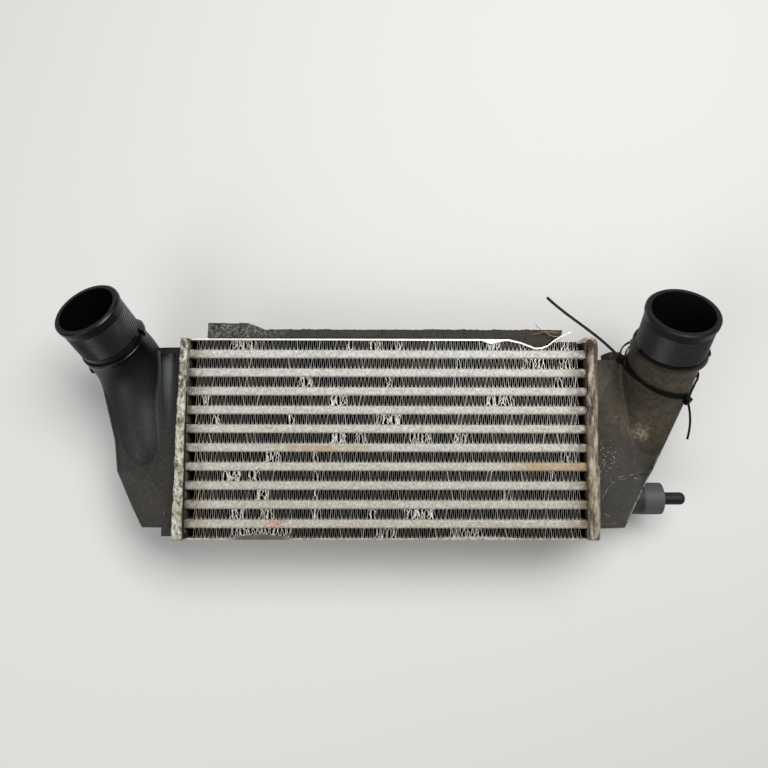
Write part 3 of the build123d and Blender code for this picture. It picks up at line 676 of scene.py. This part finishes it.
def fin_row(row, floor, ceiling, material):
    """A folded fin whose walls wander a little, bent over and scraped bare where it was knocked."""
    top_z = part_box(FIN_ROWS[row - 1])[1].z
    line = fin_line(row, floor, ceiling)
    habits = leg_habits(row, line[-1][3] + 1)
    work = bmesh.new()
    bare = work.verts.layers.float.new("bare")
    rings = [sheet_sides(work, bare, fin_edge(row, line, habits, top_z, depth), depth)
             for depth in FIN_DEPTHS]
    for (up_a, low_a), (up_b, low_b) in zip(rings, rings[1:]):
        for n in range(len(up_a) - 1):
            work.faces.new((up_a[n], up_b[n], up_b[n + 1], up_a[n + 1]))
            work.faces.new((low_a[n], low_a[n + 1], low_b[n + 1], low_b[n]))
        work.faces.new((up_a[0], low_a[0], low_b[0], up_b[0]))
        work.faces.new((up_a[-1], up_b[-1], low_b[-1], low_a[-1]))
    for upper, lower in (rings[0], rings[-1]):
        for n in range(len(upper) - 1):
            work.faces.new((upper[n], upper[n + 1], lower[n + 1], lower[n]))
    bmesh.ops.recalc_face_normals(work, faces=work.faces)
    mesh = bpy.data.meshes.new(f"folded_fin_{row:02d}")
    work.to_mesh(mesh)
    work.free()
    smooth(mesh, 60)
    return new_piece(mesh.name, mesh, material, "fin_alloy", FIN_ROWS[row - 1])


def make_fins(material):
    """One folded fin between each two tubes, and one under each side plate that follows its dents."""
    under_top = plate_surface("top_side_plate", 1)
    over_bottom = plate_surface("bottom_side_plate", -1)
    top_of = [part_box(tube)[1].y for tube in TUBES]
    bottom_of = [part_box(tube)[0].y for tube in TUBES]
    flat_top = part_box(FIN_ROWS[-1])[1].y

    def under_dents(x):
        return max(min(under_top(x) or flat_top, flat_top), top_of[-1] + LEAST_FIN * MM)

    floors = [over_bottom] + [level(y) for y in top_of]
    ceilings = [level(y) for y in bottom_of] + [under_dents]
    for row, (floor, ceiling) in enumerate(zip(floors, ceilings), 1):
        fin_row(row, floor, ceiling, material)


# ---------------------------------------------------------------- headers, foam and torn bits
LIP_WIDTH = 8.0                                   # the rim of a header plate, along X
# how far the outer lip of each header leans along X: (y, shift of the left edge, shift of the right edge)
LEFT_LIP = [(-75, -2.2, -2.4), (15, 0.0, -2.0), (75, 1.5, -0.7)]
RIGHT_LIP = [(-75, 0.2, 0.0), (-21, 0.8, 0.8), (-19, 0.7, -0.3), (75, 1.6, 1.0)]
LIP_RISE = (58, 77)                               # the lean grows between these heights
FOAM_SET_BACK = 0.35                              # sets the skin back, against most of its swell
HEADER_CELL, FOAM_CELL = 0.9, 1.1                 # cell size of the fine copies, for crust and pits


def corroded_header(name, node, material, lip, seed):
    """A header plate with a lip that was crimped unevenly, corroded along its edges."""
    low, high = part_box(node)
    mesh = fine_copy(node, HEADER_CELL)
    left_edge = [(y, left) for y, left, _ in lip]
    right_edge = [(y, right) for y, _, right in lip]
    for vertex, normal in with_normals(mesh):
        x, y, z = (c / MM for c in vertex.co)
        across = min(1.0, max(0.0, (x - low.x / MM) / LIP_WIDTH))
        lifted = eased(z, *LIP_RISE)
        shift = (1 - across) * between(y, left_edge) + across * between(y, right_edge)
        nibble = 0.7 * roll(0, y, 0, 7, seed) + 0.45 * roll(0, y, z, 2.6, seed + 2)
        x += lifted * (shift + (nibble if across < 0.5 else 0.35 * nibble))
        crust = 0.28 * roll(x, y, z, 4.5, seed + 4) + 0.16 * roll(x, y, z, 1.8, seed + 5)
        x, y, z = (a + b * crust for a, b in zip((x, y, z), normal))
        # the crust never stands out past the ends or the top of the CAD node
        vertex.co = Vector((x, min(max(y, low.y / MM), high.y / MM), min(max(z, 0.0), high.z / MM))) * MM
    smooth(mesh, 60)
    mesh.name = name
    return new_piece(name, mesh, material, "header_alloy", node)


def pitted_foam(material):
    """The seal strip with open cells in its skin and a slow swell along it."""
    mesh = fine_copy("foam_seal_strip", FOAM_CELL)
    for vertex, normal in with_normals(mesh):
        x, y, z = (c / MM for c in vertex.co)
        pit = 0.45 * roll(x, y, z, 1.7, 3) + 0.4 * roll(x, y, z, 3.4, 5)
        swell = 0.5 * roll(x, 0, z, 16, 8)
        vertex.co += normal * (pit + swell - FOAM_SET_BACK) * MM
    smooth(mesh, 80)
    mesh.name = "pitted_foam_strip"
    piece = new_piece(mesh.name, mesh, material, "seal_foam", "foam_seal_strip")
    return piece


def thread(name, points, radius, material, slot):
    """A torn thread along points in mm that thins towards its ends."""
    curve = bpy.data.curves.new(name, "CURVE")
    curve.dimensions = "3D"
    curve.bevel_depth = radius * MM
    curve.bevel_resolution = 2
    spline = curve.splines.new("NURBS")
    spline.points.add(len(points) - 1)
    for n, point in enumerate(points):
        spline.points[n].co = (*(Vector(point) * MM), 1.0)
        spline.points[n].radius = 1.0 if 0 < n < len(points) - 1 else 0.35
    spline.order_u = 3
    spline.use_endpoint_u = True
    holder = bpy.data.objects.new(name, curve)
    mesh = bpy.data.meshes.new_from_object(holder)
    bpy.data.objects.remove(holder)
    mesh.name = name
    smooth(mesh, 80)
    return new_piece(name, mesh, material, slot)


# threads torn from the foam's backing: points and radius
THREADS = [
    ([(259.5, 78.0, 72.2), (264.5, 78.6, 73.4), (269.5, 80.6, 74.0), (273, 80.0, 73.6), (278, 80.4, 73.0),
      (284, 79.2, 72.5)], 0.35),
    ([(269.5, 80.4, 73.4), (274, 77.6, 74.0), (278, 76.2, 73.6), (282, 77.4, 72.8)], 0.45),
    ([(274, 80.0, 73.6), (277, 78.0, 74.2), (280.5, 79.0, 73.4)], 0.3),
    ([(263.5, 87.2, 71.4), (264.0, 84.8, 72.2), (266.0, 83.6, 72.0), (268.0, 81.2, 72.4)], 0.3),
]

DENT_DEPTH = 0.3                                  # of the small bent plates


def bent_plate(name, outline, low, high, material, slot):
    """A small dented plate cut to an outline of (x, y) in mm, between two heights."""
    work = bmesh.new()
    rim = [work.verts.new((x * MM, y * MM, low * MM)) for x, y in outline]
    work.faces.new(rim)
    bmesh.ops.triangulate(work, faces=work.faces[:])
    raised = bmesh.ops.extrude_face_region(work, geom=work.faces[:])["geom"]
    for vertex in [item for item in raised if isinstance(item, bmesh.types.BMVert)]:
        vertex.co.z = high * MM
    bmesh.ops.subdivide_edges(work, edges=work.edges[:], cuts=2, use_grid_fill=True)
    for vertex in work.verts:
        x, y, z = (c / MM for c in vertex.co)
        dent = Vector((roll(x, y, z, 2.5, 2), roll(x, y, z, 2.5, 3), roll(x, y, z, 3, 4)))
        vertex.co += dent * DENT_DEPTH * MM
    bmesh.ops.recalc_face_normals(work, faces=work.faces)
    mesh = bpy.data.meshes.new(name)
    work.to_mesh(mesh)
    work.free()
    smooth(mesh, 50)
    return new_piece(name, mesh, material, slot)


# the crease where the side plate was struck, and the header's end tab, bent over the last fin row
PLATE_CREASE = [(221, 74.4), (243, 74.4), (240, 73.5), (236, 72.6), (230, 70.8), (225, 72.4)]
CREASE_HEIGHTS = (71.4, 73.9)
HEADER_TAB = [(292.6, 70.6), (295.0, 72.8), (298.6, 75.2), (303.0, 76.2),
              (307.2, 75.0), (307.6, 71.5), (303.0, 70.4), (299.6, 72.0)]
TAB_HEIGHTS = (74.5, 77.0)


# ---------------------------------------------------------------- finishes on the CAD nodes
def finish_nodes(plate):
    """Give each CAD node that stays visible, and each one inside, its material."""
    finishes = {
        chalky_tube_aluminium(): TUBES + TURBULATORS,
        plate: ["top_side_plate", "bottom_side_plate"],
        moulded_nylon_left(): ["left_tank"],
        moulded_nylon_right(): ["right_tank"],
        tie_nylon(): ["cable_tie_long_tail", "cable_tie_short_tail"],
        gasket_rubber(): ["left_gasket", "right_gasket"],
    }
    for material, nodes in finishes.items():
        for name in nodes:
            NODES[name].data.materials.clear()
            NODES[name].data.materials.append(material)


# ---------------------------------------------------------------- camera, floor and light
CAMERA_PLACE = (145.1, -5.52, 628.46)
CAMERA_TURN = (("Z", -0.095), ("X", -4.744), ("Y", 0.392))      # degrees about each axis, in this order
SENSOR_WIDTH, LENS = 36.0, 34.875
LIT_POINT = (0.15, 0.0, 0.05)                     # in metres, as everything in the studio


def set_camera():
    """Almost straight above, 0.63 m up, tipped 4.7 degrees towards the top of the stack."""
    data = bpy.data.cameras.new("camera")
    data.sensor_width = SENSOR_WIDTH
    data.lens = LENS
    camera = bpy.data.objects.new("camera", data)
    bpy.context.scene.collection.objects.link(camera)
    turn = Matrix.Identity(4)
    for axis, degrees in CAMERA_TURN:
        turn = turn @ Matrix.Rotation(math.radians(degrees), 4, axis)
    camera.matrix_world = Matrix.Translation(Vector(CAMERA_PLACE) * MM) @ turn.transposed()
    bpy.context.scene.camera = camera


def softbox(name, place, size, power):
    """A rectangular area light at a place in metres that faces the cooler."""
    data = bpy.data.lights.new(name, "AREA")
    data.shape = "RECTANGLE"
    data.size, data.size_y = size
    data.energy = power
    light = bpy.data.objects.new(name, data)
    bpy.context.scene.collection.objects.link(light)
    light.location = place
    light.rotation_euler = (Vector(LIT_POINT) - Vector(place)).to_track_quat("-Z", "Y").to_euler()


def set_studio():
    """Pale floor, an even pale surround and two softboxes."""
    bpy.ops.mesh.primitive_plane_add(size=8, location=(0.15, 0, -0.0002))
    floor = bpy.context.object
    floor.name = "floor"
    material, _, shader, _ = new_material("studio_floor", Roughness=0.7)
    shader.inputs["Base Color"].default_value = linear("#E4E3E0")
    floor.data.materials.append(material)
    world = bpy.data.worlds.new("surround")
    world.use_nodes = True
    surround = world.node_tree.nodes["Background"].inputs
    surround["Color"].default_value = linear("#E9ECEF")
    surround["Strength"].default_value = 0.2
    bpy.context.scene.world = world
    softbox("key_softbox", (0.5, 0.55, 1.3), (0.9, 0.7), 17)
    softbox("fill_softbox", (-0.6, -0.5, 1.0), (0.8, 0.8), 5.5)
    bpy.context.scene.view_settings.view_transform = "Standard"


# ---------------------------------------------------------------- the cooler
side_plate = plate_aluminium()
finish_nodes(side_plate)
make_fins(folded_fin_aluminium())
left_crust = header_aluminium(
    "corroded_header_aluminium_left", base="#B9B3A3", chalk="#DCD7C9", dull="#8A8370",
    moss="#5E5B45", pits_and_shade="#1D1A14", streak=0.6, seed=1)
right_crust = header_aluminium(
    "corroded_header_aluminium_right", base="#8C7E6B", chalk="#C4B7A4", dull="#685A4A",
    moss="#4B3F33", pits_and_shade="#2B231B", streak=0.2, seed=7)
corroded_header("corroded_left_header", "left_header_plate", left_crust, LEFT_LIP, 1)
corroded_header("corroded_right_header", "right_header_plate", right_crust, RIGHT_LIP, 7)
pitted_foam(seal_foam())
bent_plate("folded_plate_crease", PLATE_CREASE, *CREASE_HEIGHTS, side_plate, "side_plate_alloy")
bent_plate("bent_header_tab", HEADER_TAB, *TAB_HEIGHTS, bent_tab_aluminium(), "header_alloy")
fibre = torn_fibre()
for number, (points, radius) in enumerate(THREADS, 1):
    thread(f"torn_thread_{number}", points, radius, fibre, "seal_foam")
set_camera()
set_studio()
